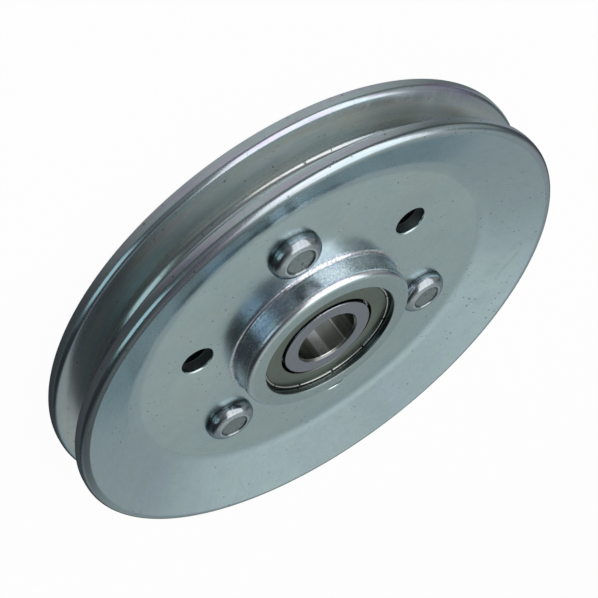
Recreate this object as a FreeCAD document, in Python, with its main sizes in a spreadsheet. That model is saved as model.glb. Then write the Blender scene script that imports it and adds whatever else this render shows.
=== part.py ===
import FreeCAD, Part
import math
import os
import Sketcher

# V-groove idler pulley: two pressed sheet halves, riveted back to back around a shielded ball bearing.
# The axis is +Z with the front face up, and the origin is the centre of the bore on the mid-plane.
# Lengths are in millimetres and angles in degrees.

SIZES = {
    # belt groove and rim
    "rim_diameter": 100.0,
    "rim_width": 12.8,
    "rim_crest_width": 0.4,
    "groove_width": 7.5,
    "groove_depth": 6.3,
    "groove_angle": 44.0,
    "groove_root_rounding": 1.65,
    "groove_edge_rounding": 1.2,
    "rim_edge_rounding": 1.2,
    "rim_crest_rounding": 1.5,
    # pressed sheet, its bend and its drawn boss
    "sheet_thickness": 1.2,
    "bend_inset": 6.145,
    "bend_radius": 8.0,
    "boss_wall": 1.6,
    "boss_base_rounding": 0.9,
    "boss_corner_rounding": 1.3,
    "lip_thickness": 1.15,
    "lip_width": 2.2,
    "lip_edge_rounding": 0.3,
    # rivets, and the plain holes midway between them
    "rivet_count": 3,
    "rivet_boss_gap": 3.25,
    "rivet_shank_diameter": 5.0,
    "rivet_hole_clearance": 0.05,
    "rivet_head_diameter": 9.8,
    "rivet_head_height": 2.2,
    "rivet_head_rounding": 1.9,
    "rivet_dish_margin": 0.15,
    "rivet_dish_depth": 0.25,
    "web_hole_diameter": 6.0,
    "web_hole_rounding": 0.35,
    # bearing rings
    "bore_diameter": 12.0,
    "bearing_outer_diameter": 32.0,
    "bearing_width": 10.0,
    "bore_chamfer": 0.4,
    "ring_corner_rounding": 0.5,
    "land_rounding": 0.2,
    "shoulder_height": 1.2,
    # balls and raceways
    "ball_count": 7,
    "ball_diameter": 5.953,
    "ball_clearance": 0.06,
    "race_relief": 0.15,
    # shields
    "shield_seat_depth": 1.0,
    "shield_seat_width": 1.05,
    "shield_thickness": 0.35,
    "shield_foot_height": 0.4,
    "shield_recess": 0.05,
    "shield_crimp_width": 0.75,
    "shield_fit": 0.03,
    "shield_gap": 0.55,
    "shield_notch_count": 11,
    "shield_notch_width": 0.4,
    # ribbon cage
    "cage_thickness": 0.4,
    "cage_land_gap": 0.54,
    "cage_pocket_clearance": 0.12,
    "cage_rivet_diameter": 0.9,
    "cage_rivet_clearance": 0.03,
    "cage_rivet_head_diameter": 1.6,
    "cage_rivet_head_height": 0.35,
}

# Sizes that follow from those in the sheet
RIM_RADIUS = "dim.rim_diameter / 2"
RIM_TOP = "dim.rim_width / 2"
RIM_CREST = RIM_RADIUS + " - dim.rim_edge_rounding - dim.rim_crest_width"
GROOVE_TOP = "dim.groove_width / 2"
GROOVE_FLOOR = RIM_RADIUS + " - dim.groove_depth"
GROOVE_CORNER = GROOVE_TOP + " - dim.groove_depth * tan(dim.groove_angle / 2)"
WEB_EDGE = GROOVE_FLOOR + " - dim.bend_inset"
SEAT_RADIUS = "dim.bearing_outer_diameter / 2"
BEARING_TOP = "dim.bearing_width / 2"
BOSS_RADIUS = SEAT_RADIUS + " + dim.boss_wall"
BOSS_TOP = BEARING_TOP + " + dim.lip_thickness"
LIP_RADIUS = SEAT_RADIUS + " - dim.lip_width"
RIVET_HEAD = "dim.rivet_head_diameter / 2"
RIVET_CIRCLE = "(" + BOSS_RADIUS + " + dim.rivet_boss_gap + " + RIVET_HEAD + ")"
RIVET_TOP = "(dim.sheet_thickness + dim.rivet_head_height)"
RIVET_HOLE = "dim.rivet_shank_diameter + 2 * dim.rivet_hole_clearance"
PITCH_RADIUS = "(dim.bore_diameter + dim.bearing_outer_diameter) / 4"
INNER_RACE = "(" + PITCH_RADIUS + " - dim.ball_diameter / 2 - dim.ball_clearance)"
OUTER_RACE = "(" + PITCH_RADIUS + " + dim.ball_diameter / 2 + dim.ball_clearance)"
RACE_RADIUS = "dim.ball_diameter / 2 + dim.race_relief"
INNER_LAND = INNER_RACE + " + dim.shoulder_height"
OUTER_LAND = OUTER_RACE + " - dim.shoulder_height"
SHIELD_SEAT = OUTER_LAND + " + dim.shield_seat_width"
SHIELD_FLOOR = BEARING_TOP + " - dim.shield_seat_depth"
SHIELD_EDGE = SHIELD_SEAT + " - dim.shield_fit"
SHIELD_FOOT = SHIELD_EDGE + " - dim.shield_crimp_width"
SHIELD_INNER = INNER_LAND + " + dim.shield_gap"
SHIELD_UNDER = SHIELD_FLOOR + " + dim.shield_foot_height"
SHIELD_FACE = SHIELD_UNDER + " + dim.shield_thickness"
SHIELD_CRIMP = BEARING_TOP + " - dim.shield_recess"
CAGE_INNER = INNER_LAND + " + dim.cage_land_gap"
CAGE_OUTER = OUTER_LAND + " - dim.cage_land_gap"
POCKET_RADIUS = "dim.ball_diameter / 2 + dim.cage_pocket_clearance"
CUP_RADIUS = POCKET_RADIUS + " + dim.cage_thickness"

ON_AXIS = "on axis"
FIRST_RIVET_ANGLE = 270
FULL_TURN = 360
LENGTH_TOLERANCE = 1e-4
# Sketch items start on a loose ring, away from both axes, until their constraints place them
SKETCH_START = FreeCAD.Vector(20, 20, 0)
SKETCH_START_RADIUS = 10

doc = FreeCAD.newDocument("pulley")


def make_sheet():
    """Write the sizes into a spreadsheet, one alias for each."""
    sheet = doc.addObject("Spreadsheet::Sheet", "dim")
    for row, (alias, value) in enumerate(SIZES.items(), start=1):
        sheet.set(f"A{row}", alias)
        sheet.set(f"B{row}", str(value))
        sheet.setAlias(f"B{row}", alias)
    doc.recompute()
    return sheet


dim = make_sheet()


def negative(expression):
    return f"-({expression})"


def make_body(label):
    body = doc.addObject("PartDesign::Body", label)
    body.Label = label
    return body


def origin_feature(body, role):
    return next(item for item in body.Origin.OriginFeatures if item.Role == role)


def make_sketch(body, name, plane):
    sketch = body.newObject("Sketcher::SketchObject", name)
    sketch.AttachmentSupport = [(origin_feature(body, plane), "")]
    sketch.MapMode = "FlatFace"
    return sketch


def bind_point(sketch, item, point, name, place):
    """Tie a sketch point to its two expressions. ON_AXIS puts it on that axis of the sketch."""
    vertical, horizontal = -2, -1
    start = sketch.getPoint(item, point)
    for kind, expression, axis, value in (
        ("DistanceX", place[0], vertical, start.x),
        ("DistanceY", place[1], horizontal, start.y),
    ):
        if expression == ON_AXIS:
            sketch.addConstraint(Sketcher.Constraint("PointOnObject", item, point, axis))
            continue
        index = sketch.addConstraint(Sketcher.Constraint(kind, -1, 1, item, point, value))
        label = f"{name}_{kind}"
        sketch.renameConstraint(index, label)
        sketch.setExpression("Constraints." + label, expression)


def bind_circle(sketch, name, centre, kind, expression):
    """Add a circle, with its centre and its radius or diameter tied to expressions."""
    item = sketch.addGeometry(Part.Circle(SKETCH_START, FreeCAD.Vector(0, 0, 1), SKETCH_START_RADIUS))
    bind_point(sketch, item, 3, name, centre)
    index = sketch.addConstraint(Sketcher.Constraint(kind, item, SKETCH_START_RADIUS))
    label = f"{name}_{kind}"
    sketch.renameConstraint(index, label)
    sketch.setExpression("Constraints." + label, expression)


def draw_outline(sketch, corners):
    """Draw a closed outline through named corners, each tied to its two place expressions."""
    count = len(corners)
    step = 2 * math.pi / count
    starts = [
        SKETCH_START + SKETCH_START_RADIUS * FreeCAD.Vector(math.cos(i * step), math.sin(i * step), 0)
        for i in range(count)
    ]
    for i in range(count):
        sketch.addGeometry(Part.LineSegment(starts[i], starts[(i + 1) % count]))
    for i in range(count):
        sketch.addConstraint(Sketcher.Constraint("Coincident", i, 2, (i + 1) % count, 1))
    for i, (name, place) in enumerate(corners.items()):
        bind_point(sketch, i, 1, name, place)
    doc.recompute()


def turn_feature(body, kind, name, sketch):
    feature = body.newObject(kind, name)
    feature.Profile = sketch
    feature.ReferenceAxis = (sketch, ["V_Axis"])
    feature.Angle = FULL_TURN
    doc.recompute()
    return feature


def revolve(body, corners):
    """Turn an outline of named corners about Z. Returns each corner's radius and height."""
    sketch = make_sketch(body, body.Name + "_section", "XZ_Plane")
    draw_outline(sketch, corners)
    turn_feature(body, "PartDesign::Revolution", body.Name + "_turned", sketch)
    points = [sketch.getPoint(i, 1) for i in range(len(corners))]
    return {name: (point.x, point.y) for name, point in zip(corners, points)}


def cut(step, body, *values):
    """Run a step that removes metal from a body, and make sure that it did."""
    before = body.Shape.Volume
    feature = step(body, *values)
    doc.recompute()
    if not body.Shape.Volume < before:
        raise RuntimeError(f"{feature.Name} removed nothing")
    return feature


def race_groove(body, centre):
    """Cut a raceway: a circle beside the axis, turned about it."""
    sketch = make_sketch(body, body.Name + "_race", "XZ_Plane")
    bind_circle(sketch, "race", (centre, ON_AXIS), "Radius", RACE_RADIUS)
    doc.recompute()
    cut(turn_feature, body, "PartDesign::Groove", body.Name + "_race_cut", sketch)


def pocket_circle(body, name, sketch, count, both_ways):
    """Cut a sketch right through the body, in equal steps around Z."""
    pocket = body.newObject("PartDesign::Pocket", name)
    pocket.Profile = sketch
    pocket.Type = "ThroughAll"
    pocket.Midplane = both_ways
    doc.recompute()
    pattern = body.newObject("PartDesign::PolarPattern", name + "_circle")
    pattern.Originals = [pocket]
    pattern.Axis = (origin_feature(body, "Z_Axis"), [""])
    pattern.Angle = FULL_TURN
    pattern.setExpression("Occurrences", count)
    body.Tip = pattern
    return pattern


def ring_edges(shape, radius, height):
    """Names of the circular edges with this radius that lie at this height."""
    found = []
    for number, edge in enumerate(shape.Edges, start=1):
        if not isinstance(edge.Curve, Part.Circle):
            continue
        off_radius = abs(edge.Curve.Radius - radius)
        off_height = abs(edge.Curve.Center.z - height)
        if max(off_radius, off_height) < LENGTH_TOLERANCE:
            found.append(f"Edge{number}")
    return found


def dress(body, kind, size, spots):
    """Round or chamfer the circular edges at these (radius, height) spots."""
    base = body.Tip
    names = [name for spot in spots for name in ring_edges(base.Shape, *spot)]
    feature = body.newObject("PartDesign::" + kind, f"{body.Name}_{size}")
    feature.Base = (base, names)
    feature.setExpression("Radius" if kind == "Fillet" else "Size", "dim." + size)
    doc.recompute()


def around(radius, angle):
    """The two place expressions of a point at this radius and angle."""
    return f"{radius} * cos({angle})", f"{radius} * sin({angle})"


def place_around(item, radius, angle):
    for axis, expression in zip("xy", around(radius, angle)):
        item.setExpression("Placement.Base." + axis, expression)


def mirror_below(label, source):
    """The same piece, mirrored in the mid-plane."""
    mirrored = doc.addObject("Part::Mirroring", label)
    mirrored.Label = label
    mirrored.Source = source
    mirrored.Normal = FreeCAD.Vector(0, 0, 1)
    return mirrored


def group(label, items):
    """Separate solids that share one node."""
    compound = doc.addObject("Part::Compound", label)
    compound.Label = label
    compound.Links = items
    return compound


def make_half():
    """Pressed half: lip, bearing seat and boss, flat web, bend, groove floor, flank and rounded rim."""
    body = make_body("front_half")
    spots = revolve(body, {
        "lip_under": (LIP_RADIUS, BEARING_TOP),
        "seat_top": (SEAT_RADIUS, BEARING_TOP),
        "seat_foot": (SEAT_RADIUS, ON_AXIS),
        "floor_foot": (GROOVE_FLOOR, ON_AXIS),
        "groove_corner": (GROOVE_FLOOR, GROOVE_CORNER),
        "groove_edge": (RIM_RADIUS, GROOVE_TOP),
        "rim_edge": (RIM_RADIUS, RIM_TOP),
        "rim_crest": (RIM_CREST, RIM_TOP),
        "web_edge": (WEB_EDGE, "dim.sheet_thickness"),
        "boss_base": (BOSS_RADIUS, "dim.sheet_thickness"),
        "boss_corner": (BOSS_RADIUS, BOSS_TOP),
        "lip_edge": (LIP_RADIUS, BOSS_TOP),
    })
    dress(body, "Fillet", "bend_radius", [spots["web_edge"]])
    dress(body, "Fillet", "groove_root_rounding", [spots["groove_corner"]])
    dress(body, "Fillet", "groove_edge_rounding", [spots["groove_edge"]])
    dress(body, "Fillet", "rim_edge_rounding", [spots["rim_edge"]])
    dress(body, "Fillet", "rim_crest_rounding", [spots["rim_crest"]])
    dress(body, "Fillet", "boss_base_rounding", [spots["boss_base"]])
    dress(body, "Fillet", "boss_corner_rounding", [spots["boss_corner"]])
    dress(body, "Fillet", "lip_edge_rounding", [spots["lip_edge"]])

    rivet_sketch = make_sketch(body, "rivet_hole", "XY_Plane")
    rivet_place = around(RIVET_CIRCLE, FIRST_RIVET_ANGLE)
    bind_circle(rivet_sketch, "rivet_hole", rivet_place, "Diameter", RIVET_HOLE)
    doc.recompute()
    cut(pocket_circle, body, "rivet_holes", rivet_sketch, "dim.rivet_count", True)

    hole_sketch = make_sketch(body, "web_hole", "XY_Plane")
    hole_place = around(RIVET_CIRCLE, f"{FIRST_RIVET_ANGLE} + 180 / dim.rivet_count")
    bind_circle(hole_sketch, "web_hole", hole_place, "Diameter", "dim.web_hole_diameter")
    doc.recompute()
    cut(pocket_circle, body, "web_holes", hole_sketch, "dim.rivet_count", True)
    hole_rim = (dim.get("web_hole_diameter") / 2, dim.get("sheet_thickness"))
    dress(body, "Fillet", "web_hole_rounding", [hole_rim])
    return body


def make_rivet(number):
    """Rivet with a round-edged head on each web and a shallow dish in the front head."""
    body = make_body(f"rivet_{number}")
    shank_radius = "dim.rivet_shank_diameter / 2"
    dish_radius = RIVET_HEAD + " - dim.rivet_head_rounding - dim.rivet_dish_margin"
    dish_floor = RIVET_TOP + " - dim.rivet_dish_depth"
    spots = revolve(body, {
        "rear_centre": (ON_AXIS, negative(RIVET_TOP)),
        "rear_corner": (RIVET_HEAD, negative(RIVET_TOP)),
        "rear_seat": (RIVET_HEAD, "-dim.sheet_thickness"),
        "shank_rear": (shank_radius, "-dim.sheet_thickness"),
        "shank_front": (shank_radius, "dim.sheet_thickness"),
        "front_seat": (RIVET_HEAD, "dim.sheet_thickness"),
        "front_corner": (RIVET_HEAD, RIVET_TOP),
        "dish_edge": (dish_radius, RIVET_TOP),
        "dish_foot": (dish_radius + " - dim.rivet_dish_depth", dish_floor),
        "dish_centre": (ON_AXIS, dish_floor),
    })
    dress(body, "Fillet", "rivet_head_rounding", [spots["rear_corner"], spots["front_corner"]])
    place_around(body, RIVET_CIRCLE, f"{FIRST_RIVET_ANGLE} + {FULL_TURN * number} / dim.rivet_count")
    return body


def make_outer_ring():
    """Outer ring with its raceway and a stepped seat for a shield at each end."""
    body = make_body("outer_ring")
    spots = revolve(body, {
        "rear_corner": (SEAT_RADIUS, negative(BEARING_TOP)),
        "front_corner": (SEAT_RADIUS, BEARING_TOP),
        "front_mouth": (SHIELD_SEAT, BEARING_TOP),
        "front_floor": (SHIELD_SEAT, SHIELD_FLOOR),
        "front_land": (OUTER_LAND, SHIELD_FLOOR),
        "rear_land": (OUTER_LAND, negative(SHIELD_FLOOR)),
        "rear_floor": (SHIELD_SEAT, negative(SHIELD_FLOOR)),
        "rear_mouth": (SHIELD_SEAT, negative(BEARING_TOP)),
    })
    dress(body, "Fillet", "ring_corner_rounding", [spots["rear_corner"], spots["front_corner"]])
    race_groove(body, f"{OUTER_RACE} - ({RACE_RADIUS})")
    return body


def make_inner_ring():
    """Inner ring with its raceway and a chamfered bore."""
    body = make_body("inner_ring")
    bore_radius = "dim.bore_diameter / 2"
    spots = revolve(body, {
        "rear_bore": (bore_radius, negative(BEARING_TOP)),
        "rear_land": (INNER_LAND, negative(BEARING_TOP)),
        "front_land": (INNER_LAND, BEARING_TOP),
        "front_bore": (bore_radius, BEARING_TOP),
    })
    dress(body, "Chamfer", "bore_chamfer", [spots["rear_bore"], spots["front_bore"]])
    dress(body, "Fillet", "land_rounding", [spots["rear_land"], spots["front_land"]])
    race_groove(body, f"{INNER_RACE} + {RACE_RADIUS}")
    return body


def make_shield():
    """Stamped shield: flat plate, and a crimped edge with notches that stands in the ring's seat."""
    body = make_body("front_shield")
    revolve(body, {
        "inner_under": (SHIELD_INNER, SHIELD_UNDER),
        "plate_foot": (SHIELD_FOOT, SHIELD_UNDER),
        "foot": (SHIELD_FOOT, SHIELD_FLOOR),
        "edge_foot": (SHIELD_EDGE, SHIELD_FLOOR),
        "edge_top": (SHIELD_EDGE, SHIELD_FACE),
        "crimp_outer": (SHIELD_EDGE + " - dim.shield_thickness", SHIELD_CRIMP),
        "crimp_inner": (SHIELD_FOOT, SHIELD_CRIMP),
        "plate_edge": (SHIELD_FOOT, SHIELD_FACE),
        "inner_top": (SHIELD_INNER, SHIELD_FACE),
    })
    sketch = make_sketch(body, "shield_notch", "XZ_Plane")
    half_width = "dim.shield_notch_width / 2"
    draw_outline(sketch, {
        "left_foot": (negative(half_width), SHIELD_FACE),
        "right_foot": (half_width, SHIELD_FACE),
        "right_top": (half_width, BEARING_TOP),
        "left_top": (negative(half_width), BEARING_TOP),
    })
    cut(pocket_circle, body, "shield_notches", sketch, "dim.shield_notch_count", False)
    return body


def ball_angle(number):
    return f"{FIRST_RIVET_ANGLE} + {FULL_TURN * number} / dim.ball_count"


def make_sphere(label, radius, number):
    ball = doc.addObject("Part::Sphere", label)
    ball.Label = label
    ball.setExpression("Radius", radius)
    place_around(ball, PITCH_RADIUS, ball_angle(number))
    return ball


def make_cylinder(label, radius, height):
    cylinder = doc.addObject("Part::Cylinder", label)
    cylinder.setExpression("Radius", radius)
    cylinder.setExpression("Height", height)
    return cylinder


def join(kind, label, items):
    feature = doc.addObject("Part::" + kind, label)
    feature.Shapes = items
    return feature


def cut_away(label, base, tool):
    feature = doc.addObject("Part::Cut", label)
    feature.Label = label
    feature.Base = base
    feature.Tool = tool
    return feature


def make_cage(balls):
    """Half of the ribbon cage: a flat ring that rises into a cup over each ball."""
    flat = make_cylinder("cage_flat", CAGE_OUTER, "dim.cage_thickness")
    cups = [make_sphere(f"cage_cup_{i}", CUP_RADIUS, i) for i in range(balls)]
    pockets = [make_sphere(f"cage_pocket_{i}", POCKET_RADIUS, i) for i in range(balls)]
    holes = []
    for i in range(balls):
        hole_radius = "dim.cage_rivet_diameter / 2 + dim.cage_rivet_clearance"
        hole = make_cylinder(f"cage_hole_{i}", hole_radius, "dim.cage_thickness")
        place_around(hole, PITCH_RADIUS, ball_angle(i + 0.5))
        holes.append(hole)
    outside = make_cylinder("cage_outside", CAGE_OUTER, BEARING_TOP)
    inside = make_cylinder("cage_inside", CAGE_INNER, BEARING_TOP)
    band = cut_away("cage_band", outside, inside)
    raised = join("MultiFuse", "cage_raised", [flat] + cups)
    ribbon = join("MultiCommon", "cage_ribbon", [raised, band])
    openings = join("MultiFuse", "cage_openings", pockets + holes)
    return cut_away("front_cage_half", ribbon, openings)


def make_cage_rivet(number):
    """Small rivet that holds the two cage halves together between two balls."""
    body = make_body(f"cage_rivet_{number}")
    head_radius = "dim.cage_rivet_head_diameter / 2"
    shank_radius = "dim.cage_rivet_diameter / 2"
    head_top = "(dim.cage_thickness + dim.cage_rivet_head_height)"
    revolve(body, {
        "rear_centre": (ON_AXIS, negative(head_top)),
        "rear_corner": (shank_radius, negative(head_top)),
        "rear_seat": (head_radius, "-dim.cage_thickness"),
        "shank_rear": (shank_radius, "-dim.cage_thickness"),
        "shank_front": (shank_radius, "dim.cage_thickness"),
        "front_seat": (head_radius, "dim.cage_thickness"),
        "front_corner": (shank_radius, head_top),
        "front_centre": (ON_AXIS, head_top),
    })
    place_around(body, PITCH_RADIUS, ball_angle(number + 0.5))
    return body


def check_document():
    for item in doc.Objects:
        if "Invalid" in item.State or "Error" in item.State:
            raise RuntimeError(f"{item.Name} did not build: {item.State}")


def write(pieces):
    os.makedirs("parts", exist_ok=True)
    for piece in pieces:
        if piece.Shape.isNull() or not piece.Shape.isValid():
            raise RuntimeError(f"{piece.Label} has no valid shape")
    for piece in pieces:
        piece.Shape.exportStep(f"parts/{piece.Label}.step")
        print(piece.Label, "solids", len(piece.Shape.Solids), "volume", round(piece.Shape.Volume, 2))


ball_count = int(dim.get("ball_count"))
front_half = make_half()
front_shield = make_shield()
front_cage_half = make_cage(ball_count)
pieces = [
    front_half,
    mirror_below("rear_half", front_half),
    group("rivets", [make_rivet(i) for i in range(int(dim.get("rivet_count")))]),
    make_outer_ring(),
    make_inner_ring(),
    front_shield,
    mirror_below("rear_shield", front_shield),
    front_cage_half,
    mirror_below("rear_cage_half", front_cage_half),
    group("cage_rivets", [make_cage_rivet(i) for i in range(ball_count)]),
]
pieces += [make_sphere(f"ball_{i + 1}", "dim.ball_diameter / 2", i) for i in range(ball_count)]
doc.recompute()
check_document()
write(pieces)
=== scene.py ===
import math

import bmesh
import bpy
from mathutils import Matrix, Quaternion, Vector


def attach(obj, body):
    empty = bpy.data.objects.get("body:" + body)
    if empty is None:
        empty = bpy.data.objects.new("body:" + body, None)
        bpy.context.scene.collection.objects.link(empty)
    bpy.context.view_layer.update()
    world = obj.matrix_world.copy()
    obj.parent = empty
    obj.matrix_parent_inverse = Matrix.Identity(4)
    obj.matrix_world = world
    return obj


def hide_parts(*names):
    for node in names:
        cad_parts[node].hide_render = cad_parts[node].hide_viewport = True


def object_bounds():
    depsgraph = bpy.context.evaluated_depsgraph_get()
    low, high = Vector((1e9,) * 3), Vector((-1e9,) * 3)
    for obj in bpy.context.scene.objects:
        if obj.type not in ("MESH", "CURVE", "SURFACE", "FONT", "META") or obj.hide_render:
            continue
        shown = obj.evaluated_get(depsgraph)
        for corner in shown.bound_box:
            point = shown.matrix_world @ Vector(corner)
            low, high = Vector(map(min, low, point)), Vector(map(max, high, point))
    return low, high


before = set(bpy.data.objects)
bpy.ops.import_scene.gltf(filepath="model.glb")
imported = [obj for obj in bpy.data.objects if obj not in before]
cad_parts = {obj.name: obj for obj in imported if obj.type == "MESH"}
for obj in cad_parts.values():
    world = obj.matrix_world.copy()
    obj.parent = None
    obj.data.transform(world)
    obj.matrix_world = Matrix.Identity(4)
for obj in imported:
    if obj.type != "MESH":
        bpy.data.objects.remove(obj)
cad_box = [list(corner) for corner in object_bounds()]

MM = 0.001
MICRON = 0.000001

# Sizes of the pulley in millimetres, the same as in the part
SHEET = 1.2
BEND = 8.0
RIM_RADIUS = 50.0
RIM_TOP = 6.4
RIM_CREST = 48.4
RIM_ROUNDING = 1.2
RIM_CREST_ROUNDING = 1.5
GROOVE_TOP = 3.75
GROOVE_FLOOR = 43.7
GROOVE_CORNER = 1.205
GROOVE_ROUNDING = 1.65
WEB_EDGE = 37.555
BOSS_RADIUS = 17.6
BOSS_TOP = 6.15
BOSS_BASE_ROUNDING = 0.9
BOSS_ROUNDING = 1.3
LIP_RADIUS = 13.8
LIP_ROUNDING = 0.3
LIP_CORNER = 0.1
SEAT_RADIUS = 16.0
BEARING_TOP = 5.0
BORE_RADIUS = 6.0
RIVET_CIRCLE = 25.75
RIVET_COUNT = 3
FIRST_RIVET = math.radians(270)
FIRST_HOLE = math.radians(330)
WEB_HOLE = 3.0
WEB_HOLE_MOUTH = 3.35
RIVET_HOLE = 2.55
RIVET_SHANK = 2.5
RIVET_HEAD = 4.9
RIVET_TOP = 3.4
RIVET_ROUNDING = 1.9
RIVET_DISH = 2.85
RIVET_DISH_DEPTH = 0.25
RIVET_DISH_ROUNDING = 0.1
RIVET_FOOT_ROUNDING = 0.12
RIVET_UNEVENNESS = 0.2
SHIELD_INNER = 9.714
SHIELD_FOOT = 13.11
SHIELD_EDGE = 13.857
SHIELD_FLOOR = 4.0
SHIELD_UNDER = 4.4
SHIELD_FACE = 4.75
SHIELD_STEP = (13.02, 13.12)
SHIELD_STEP_DEPTH = 0.2
SHIELD_STEP_ROUNDING = 0.15
SHIELD_EDGE_ROUNDING = 0.1
SHIELD_INNER_ROUNDING = 0.12
SHIELD_BEAD_CIRCLE = 13.33
SHIELD_BEAD = 0.3
SHIELD_BEAD_SUNK = 0.05
SHIELD_NOTCHES = 11
SHIELD_NOTCH = 0.42
FIRST_NOTCH = math.radians(118)

# The flat web runs between these radii on its front and on its back
WEB_FRONT = (18.6, 35.7)
WEB_BACK = (SEAT_RADIUS, 36.4)
FLANK_SLOPE = (RIM_TOP - SHEET) / (RIM_CREST - WEB_EDGE)

# The outlines that a pressed half is turned from, by number
BODY_OUTLINES, HOLE_OUTLINE, RIVET_HOLE_OUTLINE = range(3)


# Node building

def place(tree, kind, inputs=None, **settings):
    """A new node with its settings, and with each named input linked or given a value."""
    node = tree.nodes.new(kind)
    for name, value in settings.items():
        setattr(node, name, value)
    for key, value in (inputs or {}).items():
        if isinstance(value, bpy.types.NodeSocket):
            tree.links.new(value, node.inputs[key])
        else:
            node.inputs[key].default_value = value
    return node


def reckon(tree, operation, *terms):
    """The output of a Math node."""
    return place(tree, "ShaderNodeMath", dict(enumerate(terms)), operation=operation).outputs[0]


def add_up(tree, *terms):
    total = terms[0]
    for term in terms[1:]:
        total = reckon(tree, "ADD", total, term)
    return total


def times(tree, value, factor):
    return reckon(tree, "MULTIPLY", value, factor)


def stretch(tree, vector, amount):
    """A vector, or a colour, times one number or times a number for each axis."""
    if isinstance(amount, tuple):
        node = place(tree, "ShaderNodeVectorMath", {0: vector, 1: amount}, operation="MULTIPLY")
    else:
        node = place(tree, "ShaderNodeVectorMath", {0: vector, "Scale": amount}, operation="SCALE")
    return node.outputs["Vector"]


def ease(tree, value, low, high, bottom=0.0, top=1.0):
    """Where the value lies between low and high, eased, as a number from bottom to top."""
    node = place(tree, "ShaderNodeMapRange",
                 {"Value": value, "From Min": low, "From Max": high, "To Min": bottom, "To Max": top},
                 interpolation_type="SMOOTHSTEP")
    return node.outputs["Result"]


def one_over(tree, value):
    return reckon(tree, "DIVIDE", 1.0, value)


def all_but(tree, share):
    return reckon(tree, "SUBTRACT", 1.0, share)


def distance_from(tree, value, middle):
    """How far a number is from a middle one, to either side."""
    return reckon(tree, "ABSOLUTE", reckon(tree, "SUBTRACT", value, middle))


def vector_sum(tree, first, second):
    return place(tree, "ShaderNodeVectorMath", {0: first, 1: second}, operation="ADD").outputs["Vector"]


def dot_product(tree, first, second):
    node = place(tree, "ShaderNodeVectorMath", {0: first, 1: second}, operation="DOT_PRODUCT")
    return node.outputs["Value"]


def along_z(tree, height):
    return place(tree, "ShaderNodeCombineXYZ", {"Z": height}).outputs["Vector"]


def start_group(kind, name, inputs, outputs):
    """An empty node group with these named inputs and outputs, and its input sockets."""
    tree = bpy.data.node_groups.new(name, kind)
    for in_out, sockets in (("OUTPUT", outputs), ("INPUT", inputs)):
        for label, socket in sockets.items():
            tree.interface.new_socket(label, in_out=in_out, socket_type="NodeSocket" + socket)
    return tree, tree.nodes.new("NodeGroupInput").outputs


def end_group(tree, results):
    place(tree, "NodeGroupOutput", results)
    return tree


# Shapes by Geometry Nodes

def start_shape(name, inputs):
    return start_group("GeometryNodeTree", name, inputs, {"Geometry": "Geometry"})


def join(tree, *parts):
    node = tree.nodes.new("GeometryNodeJoinGeometry")
    for part in parts:
        tree.links.new(part, node.inputs["Geometry"])
    return node.outputs["Geometry"]


def circle(tree, radius, steps):
    node = place(tree, "GeometryNodeCurvePrimitiveCircle", {"Resolution": steps, "Radius": radius})
    return node.outputs["Curve"]


def named(tree, name, data_type):
    node = place(tree, "GeometryNodeInputNamedAttribute", {"Name": name}, data_type=data_type)
    return node.outputs["Attribute"]


def finish_shape(tree, geometry, side, finish):
    """Puts the shape on its side of the mid-plane, makes it real and gives it its finish."""
    scale = place(tree, "ShaderNodeCombineXYZ", {"X": 1.0, "Y": 1.0, "Z": side}).outputs["Vector"]
    sided = place(tree, "GeometryNodeTransform", {"Geometry": geometry, "Scale": scale})
    real = place(tree, "GeometryNodeRealizeInstances", {"Geometry": sided.outputs["Geometry"]})
    finished = place(tree, "GeometryNodeSetMaterial",
                     {"Geometry": real.outputs["Geometry"], "Material": finish})
    return end_group(tree, {"Geometry": finished.outputs["Geometry"]})


def build_turned():
    """Rounds the corners of a drawn outline, x its radius and y its height, and turns it about Z."""
    tree, given = start_shape("turned", {
        "Outline": "Geometry", "Corner Steps": "Int", "Steps Around": "Int"})
    path_radius = MM
    outline = place(tree, "GeometryNodeMeshToCurve", {"Mesh": given["Outline"]}).outputs["Curve"]
    rounded = place(tree, "GeometryNodeFilletCurve",
                    {"Curve": outline, "Count": given["Corner Steps"],
                     "Radius": named(tree, "rounding", "FLOAT"), "Limit Radius": True},
                    mode="POLY").outputs["Curve"]
    upright = place(tree, "GeometryNodeTransform",
                    {"Geometry": rounded, "Translation": (-path_radius, 0, 0), "Scale": (1, -1, 1)})
    path = place(tree, "GeometryNodeSetCurveNormal",
                 {"Curve": circle(tree, path_radius, given["Steps Around"])}, mode="Z_UP")
    turned = place(tree, "GeometryNodeCurveToMesh",
                   {"Curve": path.outputs["Curve"], "Profile Curve": upright.outputs["Geometry"]})
    return end_group(tree, {"Geometry": turned.outputs["Mesh"]})


def turn(tree, turned, outline, corner_steps, steps_around):
    node = place(tree, "GeometryNodeGroup", node_tree=turned)
    sockets = {"Outline": outline, "Corner Steps": corner_steps, "Steps Around": steps_around}
    for label, socket in sockets.items():
        tree.links.new(socket, node.inputs[label])
    return node.outputs["Geometry"]


def pick_outline(tree, outlines, number):
    """The outlines with that number, out of the drawn ones."""
    whole_a, whole_b = 2, 3
    same = place(tree, "FunctionNodeCompare", data_type="INT", operation="EQUAL")
    tree.links.new(named(tree, "number", "INT"), same.inputs[whole_a])
    same.inputs[whole_b].default_value = number
    picked = place(tree, "GeometryNodeSeparateGeometry",
                   {"Geometry": outlines, "Selection": same.outputs["Result"]}, domain="POINT")
    return picked.outputs["Selection"]


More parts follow.
